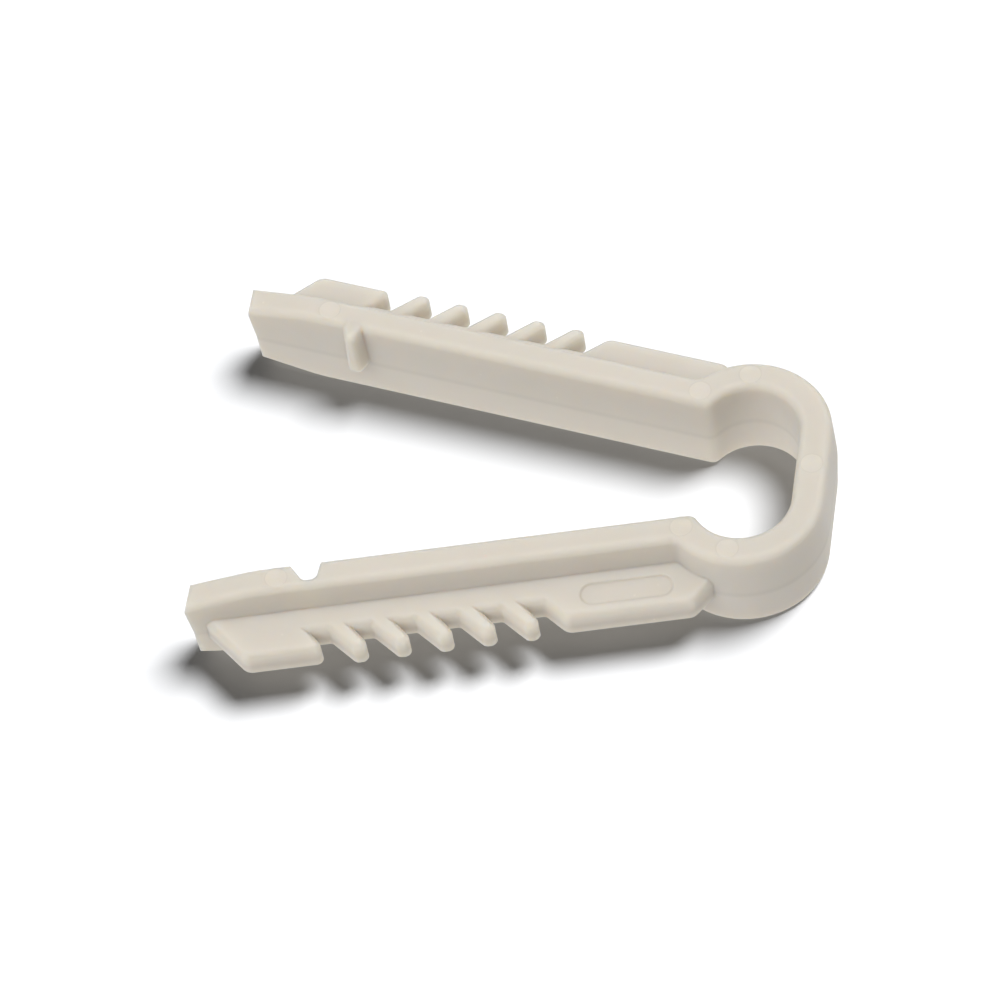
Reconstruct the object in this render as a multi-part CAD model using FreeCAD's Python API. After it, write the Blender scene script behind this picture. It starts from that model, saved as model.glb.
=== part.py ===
import FreeCAD, Part
import math
import os

vec = FreeCAD.Vector

# Strip: lengths in mm, angles in degrees, plan sizes taken at the parting plane
stripHeight = 5.3        # height of the strip as the clamp lies on its side
draftAngle = 3.0         # lean of the strip's walls away from the parting plane at mid height
edgeRound = 0.42         # rounding along the top and bottom edges of the strip
armThickness = 1.76      # wall of the two arms
armLength = 24.8         # from the shoulder to the tip, along the arm
armAngle = 12.0          # splay of each arm from the middle line
noseLength = 3.3         # length over which the tip falls away above and below
noseDrop = 0.6           # fall at the very tip, above and below
noseBlend = 6.0          # radius where the fall begins
tipStep = 0.2            # how far the tip's lower half stays back behind its upper half

# Cable eye
eyeWidth = 8.8           # clear width, from side to side
eyeCorner = 2.4          # inside radius of the corners
loopThickness = 1.86     # wall of the eye
throatGap = 6.5          # gap between the shoulders
throatReach = 5.05       # from the shoulders to the back wall, inside
shoulderRound = 0.05     # what the shoulders' inner edge is rounder by than the edges above and below it
crotchRound = 0.45       # hollow rounding behind the shoulders

# Catch: a notch in one arm and a lug on the other
catchStation = 6.05      # middle of the notch's floor, from the tip
catchFloor = 0.7         # length of the notch's floor
notchDepth = 1.26        # depth of the notch
lugHeight = 0.78         # how far the lug stands out
catchLead = 30.0         # lean of the flank on the tip side
catchStop = 16.0         # lean of the flank on the eye side
catchRoundness = 0.85    # share of the lug's flat nose that its rounded corners take up
catchBevel = 0.7         # bevel along the lug's top, as a share of the rounding that its nose has there
catchHollow = 0.4        # hollow rounding of the notch's floor
catchPlay = 0.1          # what the lug is narrower than the notch's floor

# Fins
finThickness = 1.7       # thickness of the fins, centred on the parting plane
finWidth = 2.42          # how far a fin stands out from the arm
finBevel = 0.3           # bevel along the fins' edges
finLead = 37.0           # lean of the fin's front end
finStart = 0.9           # from the tip's outer corner to the fin's front end
finRound = 0.65          # rounding of the fin's long corners
finEnd = 0.15            # where the long plain part begins to slant to the eye, from the shoulder
finEndLean = 46.0        # lean of that slant

# Teeth between the end pad and the long plain part of each fin
toothCount = 5
toothPitch = 2.14        # from tooth to tooth
toothStation = 5.7       # tip side of the first slot's floor, from the tip
toothRise = 0.18         # how far the teeth stand out past the rest of the fin
toothRoundness = 0.85    # share of a tooth's flat tip that its rounded corners take up
toothHook = 34.0         # lean of a tooth's gripping flank
toothRamp = 41.0         # lean of a tooth's sliding flank
slotDepth = 1.15         # depth of the slots below the fin's edge
slotFloor = 0.95         # length of a slot's floor
slotRound = 0.3          # hollow rounding between a slot's floor and the sliding flank

# Plain round-ended field sunk in the top of one fin
fieldShare = 0.73        # its length, as a share of the plain part of the fin
fieldWidth = 1.25
fieldDepth = 0.08

middle = stripHeight / 2
lean = math.tan(math.radians(draftAngle))
splay = math.radians(armAngle)
eyeCentre = vec(0, eyeWidth / 2 - eyeCorner, 0)
shoulder = vec(eyeCorner - throatReach, throatGap / 2, 0)
along = vec(-math.cos(splay), math.sin(splay), 0)
outward = vec(math.sin(splay), math.cos(splay), 0)
tipX = shoulder.x - armLength * math.cos(splay)
backX = eyeCorner + loopThickness


def onArm(u, v):
    # u runs from the shoulder to the tip, v out from the inner face
    return shoulder + along * u + outward * v


def heading(v):
    return math.atan2(v.y, v.x)


def arc(centre, radius, side, start, end):
    # side is 1 where the solid fills the arc and -1 where the arc hollows it
    sweep = (end - start) * side % (2 * math.pi) * side
    return centre, radius, side, start, start + sweep


def rounded(before, point, after, radius):
    # the arc that rounds the corner at point, on an outline that runs anticlockwise
    toward = (point - before).normalize()
    away = (after - point).normalize()
    side = 1 if toward.cross(away).z > 0 else -1
    turn = toward.getAngle(away)
    inner = vec(-toward.y, toward.x, 0) * side
    last = vec(-away.y, away.x, 0) * side
    centre = point - toward * (radius * math.tan(turn / 2)) + inner * radius
    return arc(centre, radius, side, heading(-inner), heading(-last))


def chain(points, radii):
    # the inner points of an open line of corners, each with its rounding
    inner = zip(points, points[1:], points[2:], radii)
    return [rounded(a, b, c, radius) for a, b, c, radius in inner]


def closed(points, radii):
    return chain([points[-1]] + points + [points[0]], radii)


def mirrored(arcs):
    turned = []
    for centre, radius, side, start, end in reversed(arcs):
        turned.append((vec(centre.x, -centre.y, 0), radius, side, -end, -start))
    return turned


def wire(arcs, inset, level):
    # the outline drawn in by inset; an arc with no radius is a sharp corner and stays one
    runs = []
    for centre, radius, side, start, end in arcs:
        half = (end - start) / 2
        reach = radius - side * inset
        angles = [start, start + half, end]
        if radius == 0:
            reach /= math.cos(half)
            angles = [start + half]
        runs.append([centre + vec(math.cos(a), math.sin(a), 0) * reach + vec(0, 0, level) for a in angles])
    edges = []
    for run, following in zip(runs, runs[1:] + runs[:1]):
        if len(run) > 1:
            edges.append(Part.Arc(*run).toShape())
        if run[-1].distanceToPoint(following[0]) > Part.Precision.confusion():
            edges.append(Part.makeLine(run[-1], following[0]))
    return Part.Wire(edges)


def drafted(arcs, rise):
    # a half of the moulding, from the parting plane up or down by rise
    sections = [wire(arcs, 0, middle), wire(arcs, abs(rise) * lean, middle + rise)]
    return Part.makeLoft(sections, True, True)


def rimEdges(solid, low, high):
    # edges where the faces that look up or down, outside the given levels, meet the walls
    count = {}
    edges = {}
    for face in solid.Faces:
        u0, u1, v0, v1 = face.ParameterRange
        flat = abs(face.normalAt((u0 + u1) / 2, (v0 + v1) / 2).z) > math.cos(math.pi / 4)
        if flat and not low < face.CenterOfMass.z < high:
            for edge in face.Edges:
                count[edge.hashCode()] = count.get(edge.hashCode(), 0) + 1
                edges[edge.hashCode()] = edge
    return [edges[code] for code in edges if count[code] == 1]


def blend(level, radius, rounding):
    # centre of the rounding between an arm face and the eye wall of that radius
    centre = eyeCentre - shoulder
    back, side = centre.dot(along), centre.dot(outward)
    across = level + rounding - side
    return onArm(back + math.sqrt((radius + rounding) ** 2 - across ** 2), level + rounding)


def cornerRound(share, flat, before, after):
    # radius at both ends of a flat, from the share of it that they take up and the lean of its two flanks
    reach = math.tan(math.radians(90 - before) / 2) + math.tan(math.radians(90 - after) / 2)
    return share * flat / reach


def catchPlan(depth, floor, radius):
    # plan of a notch, or of a lug where depth is below 0, closed on the other side of the inner face
    station = armLength - catchStation
    lead = floor / 2 + abs(depth) * math.tan(math.radians(catchLead))
    stop = floor / 2 + abs(depth) * math.tan(math.radians(catchStop))
    points = [
        onArm(station + lead, 0),
        onArm(station + floor / 2, depth),
        onArm(station - floor / 2, depth),
        onArm(station - stop, 0),
        onArm(station - stop, -depth),
        onArm(station + lead, -depth),
    ]
    radii = [0, radius, radius, 0, 0, 0]
    order = -1 if depth > 0 else 1
    return closed(points[::order], radii[::order])


def lug():
    nose = cornerRound(catchRoundness, catchFloor - catchPlay, catchLead, catchStop)
    block = drafted(catchPlan(-lugHeight, catchFloor - catchPlay, nose), middle)
    return block.makeChamfer(catchBevel * (nose - middle * lean), rimEdges(block, 0, middle + lugHeight))


def notch():
    plan = Part.Face(wire(mirrored(catchPlan(notchDepth, catchFloor, catchHollow)), 0, middle))
    return plan.extrude(vec(0, 0, stripHeight))


def armOutline():
    # one half of the strip's outline, from the back wall round the outside, past the tip and back inside
    turnRound = shoulderRound + edgeRound + middle * lean
    crotch = blend(armThickness, backX, crotchRound)
    turn = blend(0, eyeCorner, turnRound)
    end, endRound = armLength + armThickness, armThickness / 3
    path = [crotch - outward * crotchRound, onArm(end, armThickness), onArm(end, 0), turn - outward * turnRound]
    arcs = [arc(eyeCentre, backX, 1, 0, heading(crotch - eyeCentre))]
    arcs.append(arc(crotch, crotchRound, -1, heading(eyeCentre - crotch), heading(-outward)))
    arcs += chain(path, [endRound, endRound])
    arcs.append(arc(turn, turnRound, 1, heading(-outward), heading(eyeCentre - turn)))
    arcs.append(arc(eyeCentre, eyeCorner, -1, heading(turn - eyeCentre), 0))
    return arcs


def sideView():
    # the strip seen from the side: flat, with both faces falling towards the tip
    right, start = backX + noseLength, tipX + noseLength
    points = [vec(right, 0), vec(right, stripHeight), vec(start, stripHeight)]
    points += [vec(tipX, stripHeight - noseDrop), vec(tipX, middle)]
    points += [vec(tipX + tipStep, middle), vec(tipX + tipStep, noseDrop), vec(start, 0)]
    profile = Part.Face(wire(closed(points, [0, 0, noseBlend, 0, 0, 0, 0, noseBlend]), 0, 0))
    reach = armLength + eyeWidth
    profile.rotate(vec(0, 0, 0), vec(1, 0, 0), 90)
    profile.translate(vec(0, reach, 0))
    return profile.extrude(vec(0, -2 * reach, 0))


def strip():
    outline = armOutline() + mirrored(armOutline())
    body = drafted(outline, middle).fuse(drafted(outline, -middle)).common(sideView()).Solids[0]
    return body.makeFillet(edgeRound, rimEdges(body, noseDrop, stripHeight - noseDrop))


def slot(index, edge):
    # corners of a slot, counted from the tip: down the sliding flank, along the floor, up the gripping one
    floor = edge - slotDepth
    start = armLength - toothStation - index * toothPitch
    rampRise = slotDepth + (toothRise if index < toothCount else 0)
    hookRise = slotDepth + (toothRise if index > 0 else 0)
    end = start - slotFloor
    return [
        onArm(end - rampRise * math.tan(math.radians(toothRamp)), floor + rampRise),
        onArm(end, floor),
        onArm(start, floor),
        onArm(start - hookRise * math.tan(math.radians(toothHook)), floor + hookRise),
    ]


def toothCorner():
    reach = slotDepth + toothRise
    leans = math.tan(math.radians(toothRamp)) - math.tan(math.radians(toothHook))
    return cornerRound(toothRoundness, toothPitch - slotFloor - reach * leans, toothRamp, -toothHook)


def eyeWallPoint(point, direction):
    # where a line that heads for the eye reaches the middle of its wall
    offset = point - eyeCentre
    half = offset.dot(direction)
    radius = eyeCorner + loopThickness / 2
    return point - direction * (half + math.sqrt(half ** 2 - offset.dot(offset) + radius ** 2))


def finOutline():
    # from the eye's wall out along the toothed edge to the tip, and back inside the arm
    edge = armThickness + finWidth
    core = armThickness / 2
    slope = math.tan(math.radians(finLead))
    front = armLength + armThickness * math.tan(splay) - finStart
    heel = onArm(finEnd, edge)
    toEye = math.radians(finEndLean)
    points = [eyeWallPoint(heel, along * -math.sin(toEye) - outward * math.cos(toEye)), heel]
    radii = [0, finRound]
    tooth = toothCorner()
    for index in range(toothCount, -1, -1):
        points += slot(index, edge)
        radii += [tooth if index < toothCount else finRound, slotRound, 0, tooth]
    points += [onArm(front - finWidth * slope, edge), onArm(front, armThickness)]
    points += [onArm(front - core, core), onArm(core, core)]
    radii += [finRound, 0, 0, 0]
    return closed(points, radii)


def fin():
    low, high = middle - finThickness / 2, middle + finThickness / 2
    blank = Part.Face(wire(finOutline(), 0, low)).extrude(vec(0, 0, finThickness))
    return blank.makeChamfer(finBevel, rimEdges(blank, low + finBevel, high - finBevel))


def field():
    # what is taken out of the near fin's top face
    top = middle + finThickness / 2
    across = armThickness + finWidth / 2
    end = (slot(toothCount, armThickness + finWidth)[0] - shoulder).dot(along)
    station = (finEnd + end) / 2
    length = (end - finEnd) * fieldShare
    corners = []
    for u, v in ((-1, 1), (1, 1), (1, -1), (-1, -1)):
        corners.append(onArm(station + u * length / 2, across + v * fieldWidth / 2))
    outline = closed(corners, [fieldWidth / 2] * len(corners))
    return Part.Face(wire(mirrored(outline), 0, top - fieldDepth)).extrude(vec(0, 0, stripHeight - top))


def clamp():
    far = fin()
    near = far.mirror(vec(0, 0, 0), vec(0, 1, 0))
    return strip().fuse([far, near, lug()]).cut([notch(), field()]).Solids[0]


part = clamp()
part.translate(vec(-(tipX + backX) / 2, 0, 0))
os.makedirs("parts", exist_ok=True)
part.exportStep("parts/claw_clamp.step")
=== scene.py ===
import bpy
import math
from mathutils import Matrix, Vector


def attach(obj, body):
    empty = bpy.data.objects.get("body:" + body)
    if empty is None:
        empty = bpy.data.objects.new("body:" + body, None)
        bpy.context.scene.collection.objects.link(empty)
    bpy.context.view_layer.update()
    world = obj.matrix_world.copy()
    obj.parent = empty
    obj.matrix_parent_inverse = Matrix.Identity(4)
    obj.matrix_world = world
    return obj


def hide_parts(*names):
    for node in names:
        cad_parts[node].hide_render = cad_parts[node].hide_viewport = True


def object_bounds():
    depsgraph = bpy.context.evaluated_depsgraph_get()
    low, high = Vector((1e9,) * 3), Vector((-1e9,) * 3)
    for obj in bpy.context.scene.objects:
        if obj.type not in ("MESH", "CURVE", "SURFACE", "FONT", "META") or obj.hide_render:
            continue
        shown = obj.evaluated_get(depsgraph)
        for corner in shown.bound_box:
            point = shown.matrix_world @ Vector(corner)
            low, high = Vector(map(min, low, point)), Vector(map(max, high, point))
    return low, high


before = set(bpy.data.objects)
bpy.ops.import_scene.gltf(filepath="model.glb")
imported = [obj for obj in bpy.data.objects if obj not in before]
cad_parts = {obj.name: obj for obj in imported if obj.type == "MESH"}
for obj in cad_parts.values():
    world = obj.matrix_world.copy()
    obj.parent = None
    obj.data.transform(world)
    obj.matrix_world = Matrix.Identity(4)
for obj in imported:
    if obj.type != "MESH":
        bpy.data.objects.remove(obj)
cadLow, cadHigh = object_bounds()
print("frame loaded, nodes:", sorted(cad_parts))

mm = 0.001


def workOn(*objects):
    bpy.ops.object.select_all(action="DESELECT")
    for item in objects:
        item.select_set(True)
    bpy.context.view_layer.objects.active = objects[0]


# the moulding: a merged copy of the CAD solid, with leaning tips and the round marks of the mould's pins
moulding = {
    "weld": 0.0005,           # mm, corners closer than this are one
    "flatWithin": 0.15,       # degrees, facets this flat to each other are one face
    "smoothWithin": 50,       # degrees, edges sharper than this stay edges
    "tipLean": 0.21,          # mm, how far the tips' upper half leans back on its way down
    "tipSlope": (2.64, 4.3),  # mm, heights between which it does so
    "pinRadius": 0.6,         # mm
    "pinRim": 0.07,           # mm, width of the sloping rim
    "pinDepth": 0.03,         # mm
    "pinPad": 0.4,            # mm, how deep the flat end of a pin fills the rounded edge beside it
    "pinSides": 48,
    "discSunk": (0.9, 1.5),   # how far down a disc's floor is looked for, in pin depths
    "rimUpward": (0.3, 0.99),  # how far a rim's faces look up, 1 being level
    "rimPaintedShadeMark": -0.3,          # what the material reads on a rim, where a disc has 1; it paints the rim a little darker, as painted shade
    "pins": [                 # mm, seen from above
        (8.613, 4.163), (8.613, -4.163),
        (-11.097, 8.352), (-11.097, -8.352),
        (11.034, 5.317), (11.034, -5.317),
        (14.654, 0.0),
    ],
}


def makeMoulding():
    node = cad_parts["claw_clamp"]
    body = bpy.data.objects.new("clampMoulding", node.data.copy())
    bpy.context.scene.collection.objects.link(body)
    workOn(body)
    bpy.ops.object.mode_set(mode="EDIT")
    bpy.ops.mesh.select_all(action="SELECT")
    bpy.ops.mesh.remove_doubles(threshold=moulding["weld"] * mm)
    bpy.ops.mesh.customdata_custom_splitnormals_clear()
    bpy.ops.mesh.dissolve_limited(angle_limit=math.radians(moulding["flatWithin"]))
    bpy.ops.object.mode_set(mode="OBJECT")
    return body


def combine(body, tools, operation):
    workOn(*tools)
    bpy.ops.object.join()
    tool = bpy.context.object
    workOn(body)
    bpy.ops.object.modifier_add(type="BOOLEAN")
    change = body.modifiers[-1]
    change.operation = operation
    change.solver = "EXACT"
    change.object = tool
    bpy.ops.object.modifier_apply(modifier=change.name)
    bpy.data.objects.remove(tool)


def leanTips(body):
    # a tilted block shaves the end of both tips, from the top edge down to the middle
    lean = moulding["tipLean"] * mm
    middle, top = (z * mm for z in moulding["tipSlope"])
    height = top - middle
    tilt = math.atan2(lean, height)
    size = math.hypot(lean, height)
    outward = Vector((-math.cos(tilt), 0, -math.sin(tilt)))
    centre = Vector((cadLow.x + lean / 2, 0, middle + height / 2)) + outward * size / 2
    bpy.ops.mesh.primitive_cube_add(size=1, location=centre, rotation=(0, -tilt, 0))
    block = bpy.context.object
    block.scale = (size, 2 * (cadHigh.y - cadLow.y), size)
    combine(body, [block], "DIFFERENCE")


def stampPins(body):
    # each pin's flat end fills the rounded edge beside it and leaves a shallow disc
    top = cadHigh.z
    radius, rim, depth, pad = (moulding[k] * mm for k in ("pinRadius", "pinRim", "pinDepth", "pinPad"))
    pads, stamps = [], []
    for x, y in moulding["pins"]:
        bpy.ops.mesh.primitive_cylinder_add(
            vertices=moulding["pinSides"], radius=radius, depth=pad,
            location=(x * mm, y * mm, top - (depth + pad) / 2))
        pads.append(bpy.context.object)
        bpy.ops.mesh.primitive_cone_add(
            vertices=moulding["pinSides"], radius1=radius - rim, radius2=radius + rim, depth=2 * depth,
            location=(x * mm, y * mm, top))
        stamps.append(bpy.context.object)
    combine(body, pads, "UNION")
    combine(body, stamps, "DIFFERENCE")
    markPins(body, radius, rim, depth)


def markPins(body, radius, rim, depth):
    # tells the discs and their rims apart from the other faces, for the material, which paints the discs
    # lighter and the rims darker as painted shade
    discTop, discLow = (cadHigh.z - share * depth for share in moulding["discSunk"])
    steepest, flattest = moulding["rimUpward"]
    marks = body.data.attributes.new("pinMark", "FLOAT", "FACE")
    for face in body.data.polygons:
        if face.center.z < discLow or face.normal.z < steepest:
            continue
        away = min(math.dist(face.center[:2], (x * mm, y * mm)) for x, y in moulding["pins"])
        if away < radius - rim and face.center.z < discTop:
            marks.data[face.index].value = 1
        elif abs(away - radius) < rim and face.normal.z < flattest:
            marks.data[face.index].value = moulding["rimPaintedShadeMark"]


def finishMoulding(body):
    workOn(body)
    bpy.ops.object.shade_smooth_by_angle(angle=math.radians(moulding["smoothWithin"]))
    bpy.ops.object.modifier_add(type="WEIGHTED_NORMAL")
    flat = body.modifiers[-1]
    flat.keep_sharp = True
    bpy.ops.object.modifier_apply(modifier=flat.name)


# off-white nylon that light enters a little way
nylon = {
    "colour": (0.70, 0.66, 0.595),
    "tint": (0.665, 0.625, 0.555),    # the slightly deeper cloudy patches
    "cloudSize": 3.0,                 # mm
    "cloudDetail": 3,
    "grainSize": 0.12,                # mm
    "grainDetail": 2,
    "grainHeight": 0.004,             # mm
    "roughness": (0.50, 0.62),
    "shine": 0.12,
    "refraction": 1.53,
    "edgeSoftness": 0.2,              # mm
    "edgeSamples": 8,
    "shoulder": (8.576, 3.25),        # mm, the corner between arm and eye, and its mirror image
    "shoulderReach": (0.4, 1.6),      # mm, the softer edge there fades out over this distance
    "shoulderSoftness": 0.7,          # mm
    "partingHeight": 2.55,            # mm, where the two halves of the mould met
    "partingWidth": 0.32,             # mm, to either side
    # painted shade: a darker band along the parting line, where its crease would lie in shade
    "partingPaintedShade": -0.06,            # shades are shares of the colour, above 0 lighter
    # painted light: the lower half lighter, as the floor's bounce light would make it
    "lowerHalfPaintedLight": 0.03,
    # pin discs this share lighter, their rims a little darker as painted shade
    "pinDiscAndPaintedRimShade": 0.06,
    # painted glints: small lighter specks that stand in for sparkles of light
    "speckSpacing": 1.5,              # mm
    "speckRadius": 0.1,               # mm
    "speckPaintedGlint": 0.1,
    "glow": 0.9,                      # share of the light that goes in
    "glowReach": (1.4, 1.15, 0.8),    # mm, for red, green and blue
}


def ramp(nodes, links, value, fromRange, toRange):
    step = nodes.new("ShaderNodeMapRange")
    step.interpolation_type = "SMOOTHSTEP"
    step.inputs["From Min"].default_value, step.inputs["From Max"].default_value = fromRange
    step.inputs["To Min"].default_value, step.inputs["To Max"].default_value = toRange
    links.new(value, step.inputs["Value"])
    return step.outputs["Result"]


def makeTone(nodes, links, place):
    # 1, with painted shade along the parting line, painted light on the lower half, lighter pin discs
    # with painted shade on their rims, and painted glints as small lighter specks
    axes = nodes.new("ShaderNodeSeparateXYZ")
    links.new(place.outputs["Object"], axes.inputs["Vector"])
    width = nylon["partingWidth"] * mm
    above = nodes.new("ShaderNodeMath")
    above.operation = "SUBTRACT"
    above.inputs[1].default_value = nylon["partingHeight"] * mm
    links.new(axes.outputs["Z"], above.inputs[0])
    gap = nodes.new("ShaderNodeMath")
    gap.operation = "ABSOLUTE"
    links.new(above.outputs["Value"], gap.inputs[0])
    speck = nodes.new("ShaderNodeTexVoronoi")
    speck.inputs["Scale"].default_value = 1 / (nylon["speckSpacing"] * mm)
    links.new(place.outputs["Object"], speck.inputs["Vector"])
    pin = nodes.new("ShaderNodeAttribute")
    pin.attribute_name = "pinMark"
    speckEdge = nylon["speckRadius"] / nylon["speckSpacing"]
    shades = [
        # painted shade along the parting line
        ramp(nodes, links, gap.outputs["Value"], (0, width), (nylon["partingPaintedShade"], 0)),
        # painted light on the lower half, below the parting line
        ramp(nodes, links, above.outputs["Value"], (-width, width), (nylon["lowerHalfPaintedLight"], 0)),
        # lighter pin discs, with painted shade on their rims
        ramp(nodes, links, pin.outputs["Fac"], (-1, 1), (-nylon["pinDiscAndPaintedRimShade"], nylon["pinDiscAndPaintedRimShade"])),
        # painted glints as small lighter specks
        ramp(nodes, links, speck.outputs["Distance"], (0, speckEdge), (nylon["speckPaintedGlint"], 0)),
    ]
    total = None
    for shade in shades:
        added = nodes.new("ShaderNodeMath")
        added.inputs[0].default_value = 1
        if total:
            links.new(total, added.inputs[0])
        links.new(shade, added.inputs[1])
        total = added.outputs["Value"]
    return total


def makeSoftness(nodes, links, place):
    # how far an edge is softened: more at the shoulders, seen in plan
    mirrored = nodes.new("ShaderNodeVectorMath")
    mirrored.operation = "ABSOLUTE"
    links.new(place.outputs["Object"], mirrored.inputs[0])
    plan = nodes.new("ShaderNodeVectorMath")
    plan.operation = "MULTIPLY"
    plan.inputs[1].default_value = (1, 1, 0)
    links.new(mirrored.outputs["Vector"], plan.inputs[0])
    away = nodes.new("ShaderNodeVectorMath")
    away.operation = "DISTANCE"
    away.inputs[1].default_value = (nylon["shoulder"][0] * mm, nylon["shoulder"][1] * mm, 0)
    links.new(plan.outputs["Vector"], away.inputs[0])
    reach = [d * mm for d in nylon["shoulderReach"]]
    softness = (nylon["shoulderSoftness"] * mm, nylon["edgeSoftness"] * mm)
    return ramp(nodes, links, away.outputs["Value"], reach, softness)


def makeNylon():
    material = bpy.data.materials.new("naturalNylon")
    material.use_nodes = True
    nodes, links = material.node_tree.nodes, material.node_tree.links
    shader = nodes["Principled BSDF"]
    place = nodes.new("ShaderNodeTexCoord")

    cloud = nodes.new("ShaderNodeTexNoise")
    cloud.inputs["Scale"].default_value = 1 / (nylon["cloudSize"] * mm)
    cloud.inputs["Detail"].default_value = nylon["cloudDetail"]
    links.new(place.outputs["Object"], cloud.inputs["Vector"])
    shade = nodes.new("ShaderNodeMix")
    shade.data_type = "RGBA"
    shade.inputs["A"].default_value = (*nylon["colour"], 1)
    shade.inputs["B"].default_value = (*nylon["tint"], 1)
    links.new(cloud.outputs["Fac"], shade.inputs["Factor"])
    tone = nodes.new("ShaderNodeVectorMath")
    tone.operation = "SCALE"
    links.new(shade.outputs["Result"], tone.inputs["Vector"])
    links.new(makeTone(nodes, links, place), tone.inputs["Scale"])
    links.new(tone.outputs["Vector"], shader.inputs["Base Color"])

    grain = nodes.new("ShaderNodeTexNoise")
    grain.inputs["Scale"].default_value = 1 / (nylon["grainSize"] * mm)
    grain.inputs["Detail"].default_value = nylon["grainDetail"]
    links.new(place.outputs["Object"], grain.inputs["Vector"])
    polish = nodes.new("ShaderNodeMapRange")
    polish.inputs["To Min"].default_value, polish.inputs["To Max"].default_value = nylon["roughness"]
    links.new(grain.outputs["Fac"], polish.inputs["Value"])
    links.new(polish.outputs["Result"], shader.inputs["Roughness"])

    soft = nodes.new("ShaderNodeBevel")
    soft.samples = nylon["edgeSamples"]
    links.new(makeSoftness(nodes, links, place), soft.inputs["Radius"])
    relief = nodes.new("ShaderNodeBump")
    relief.inputs["Distance"].default_value = nylon["grainHeight"] * mm
    links.new(grain.outputs["Fac"], relief.inputs["Height"])
    links.new(soft.outputs["Normal"], relief.inputs["Normal"])
    links.new(relief.outputs["Normal"], shader.inputs["Normal"])

    shader.inputs["IOR"].default_value = nylon["refraction"]
    shader.inputs["Specular IOR Level"].default_value = nylon["shine"]
    shader.inputs["Subsurface Weight"].default_value = nylon["glow"]
    shader.inputs["Subsurface Radius"].default_value = nylon["glowReach"]
    shader.inputs["Subsurface Scale"].default_value = mm
    return material


clamp = makeMoulding()
leanTips(clamp)
stampPins(clamp)
finishMoulding(clamp)
clamp.data.materials.clear()
clamp.data.materials.append(makeNylon())
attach(clamp, "root")
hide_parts("claw_clamp")
print("moulding done, faces:", len(clamp.data.polygons))

# white table and light
studio = {
    "floorSize": 3.0,                 # m
    "floorGap": 0.02,                 # mm, below the clamp
    "floorColour": (0.592, 0.597, 0.608),
    "floorGlow": 0.78,                # light that the floor throws back on the clamp
    "ambient": 0.07,
    "lampDistance": 0.3,              # m, of no effect on the light
    # name, heading in plan and height in degrees, strength, spread in degrees, what it lights
    "lamps": [
        ("floorLamp", (41, 63.5), 6.1, 28, "table"),
        ("leftLamp", (240, 65), 2.13, 70, "clampMoulding"),
        ("sideLamp", (225, 40), 0.35, 70, "clampMoulding"),
        ("backLamp", (45, 40), 1.3, 70, "clampMoulding"),
    ],
}


def makeFloor():
    level = cadLow.z - studio["floorGap"] * mm
    bpy.ops.mesh.primitive_plane_add(size=studio["floorSize"], location=(0, 0, level))
    floor = bpy.context.object
    floor.name = "table"
    material = bpy.data.materials.new("whiteTable")
    material.use_nodes = True
    nodes, links = material.node_tree.nodes, material.node_tree.links
    nodes.clear()
    paper = nodes.new("ShaderNodeBsdfDiffuse")
    paper.inputs["Color"].default_value = (*studio["floorColour"], 1)
    glow = nodes.new("ShaderNodeEmission")
    glow.inputs["Strength"].default_value = studio["floorGlow"]
    rays = nodes.new("ShaderNodeLightPath")
    choice = nodes.new("ShaderNodeMixShader")
    links.new(rays.outputs["Is Camera Ray"], choice.inputs["Fac"])
    links.new(glow.outputs["Emission"], choice.inputs[1])
    links.new(paper.outputs["BSDF"], choice.inputs[2])
    out = nodes.new("ShaderNodeOutputMaterial")
    links.new(choice.outputs["Shader"], out.inputs["Surface"])
    floor.data.materials.append(material)


def sunFrom(name, where, strength, spread, target):
    heading, height = (math.radians(a) for a in where)
    level = math.cos(height)
    source = Vector((math.cos(heading) * level, math.sin(heading) * level, math.sin(height)))
    bpy.ops.object.light_add(type="SUN", location=source * studio["lampDistance"])
    lamp = bpy.context.object
    lamp.name = name
    lamp.rotation_euler = source.to_track_quat("Z", "Y").to_euler()
    lamp.data.energy = strength
    lamp.data.angle = math.radians(spread)
    lit = bpy.data.collections.new(name + "Target")
    lit.objects.link(bpy.data.objects[target])
    lamp.light_linking.receiver_collection = lit


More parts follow.
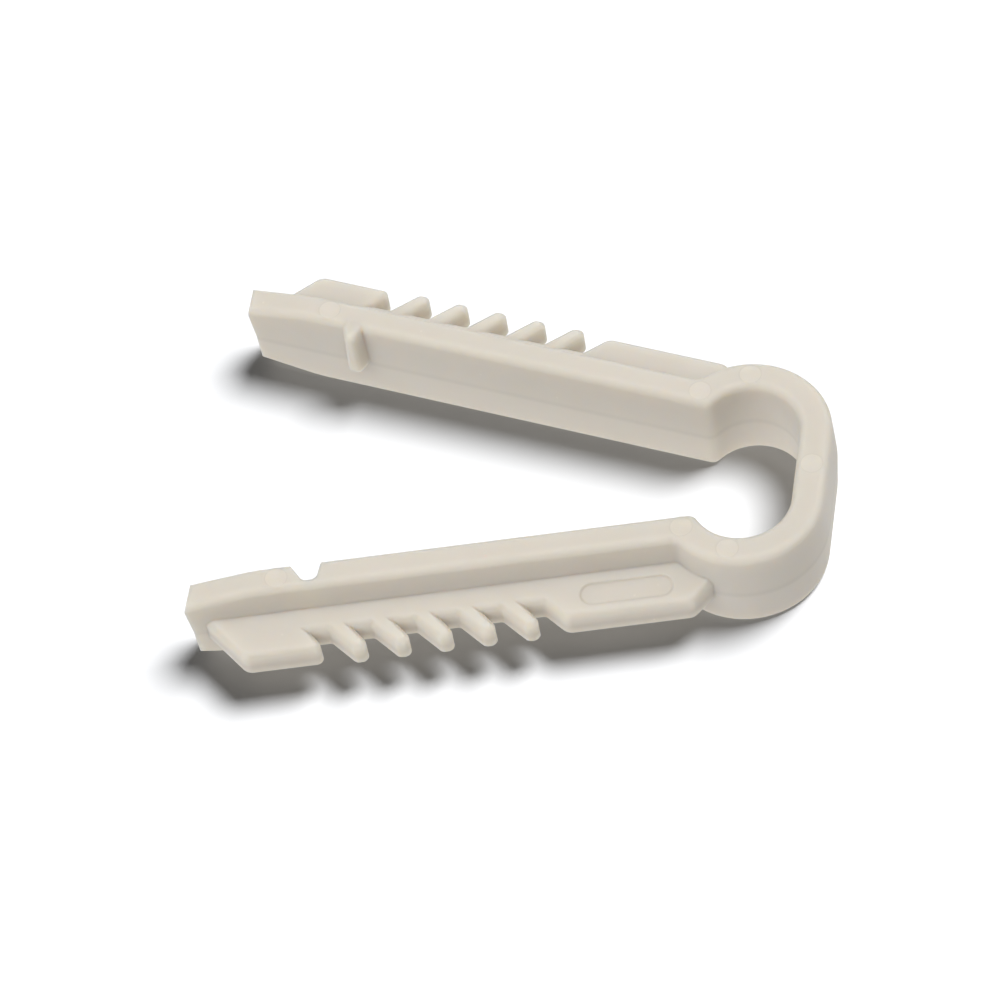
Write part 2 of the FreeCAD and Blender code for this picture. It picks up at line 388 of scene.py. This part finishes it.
def makeWorld():
    # white where it is seen, and a faint light otherwise
    world = bpy.data.worlds.new("studioWorld")
    bpy.context.scene.world = world
    world.use_nodes = True
    nodes, links = world.node_tree.nodes, world.node_tree.links
    sky = nodes["Background"]
    rays = nodes.new("ShaderNodeLightPath")
    seen = rays.outputs["Is Camera Ray"]
    for kind in ("Is Glossy Ray", "Is Transmission Ray"):
        either = nodes.new("ShaderNodeMath")
        either.operation = "MAXIMUM"
        links.new(seen, either.inputs[0])
        links.new(rays.outputs[kind], either.inputs[1])
        seen = either.outputs["Value"]
    level = nodes.new("ShaderNodeMapRange")
    level.inputs["To Min"].default_value = studio["ambient"]
    level.inputs["To Max"].default_value = 1
    links.new(seen, level.inputs["Value"])
    links.new(level.outputs["Result"], sky.inputs["Strength"])
    sky.inputs["Color"].default_value = (1, 1, 1, 1)


makeFloor()
makeWorld()
for lamp in studio["lamps"]:
    sunFrom(*lamp)
print("studio done")

cameraSetup = {
    "azimuth": 17.445,                # degrees
    "elevation": 53.984,
    "roll": -11.656,
    "aim": (-1.1469, -1.2509, 2.65),  # mm, the point in the middle of the picture
    "distance": 223.521,              # mm
    "lens": 159.797,                  # mm
    "sensor": 36,                     # mm
    "clip": (0.005, 20),              # m
}


def makeCamera():
    turn, tilt, roll = (math.radians(cameraSetup[k]) for k in ("azimuth", "elevation", "roll"))
    back = Vector((math.sin(turn) * math.cos(tilt), -math.cos(turn) * math.cos(tilt), math.sin(tilt)))
    right = Vector((math.cos(turn), math.sin(turn), 0))
    up = back.cross(right)
    rolledRight = right * math.cos(roll) + up * math.sin(roll)
    rolledUp = up * math.cos(roll) - right * math.sin(roll)
    bpy.ops.object.camera_add()
    camera = bpy.context.object
    camera.name = "photoCamera"
    axes = Matrix((rolledRight, rolledUp, back)).transposed().to_4x4()
    place = Vector(cameraSetup["aim"]) * mm + back * cameraSetup["distance"] * mm
    camera.matrix_world = Matrix.Translation(place) @ axes
    camera.data.sensor_width = cameraSetup["sensor"]
    camera.data.lens = cameraSetup["lens"]
    camera.data.clip_start, camera.data.clip_end = cameraSetup["clip"]
    bpy.context.scene.camera = camera


makeCamera()
bpy.context.scene.view_settings.view_transform = "Standard"
print("camera done")
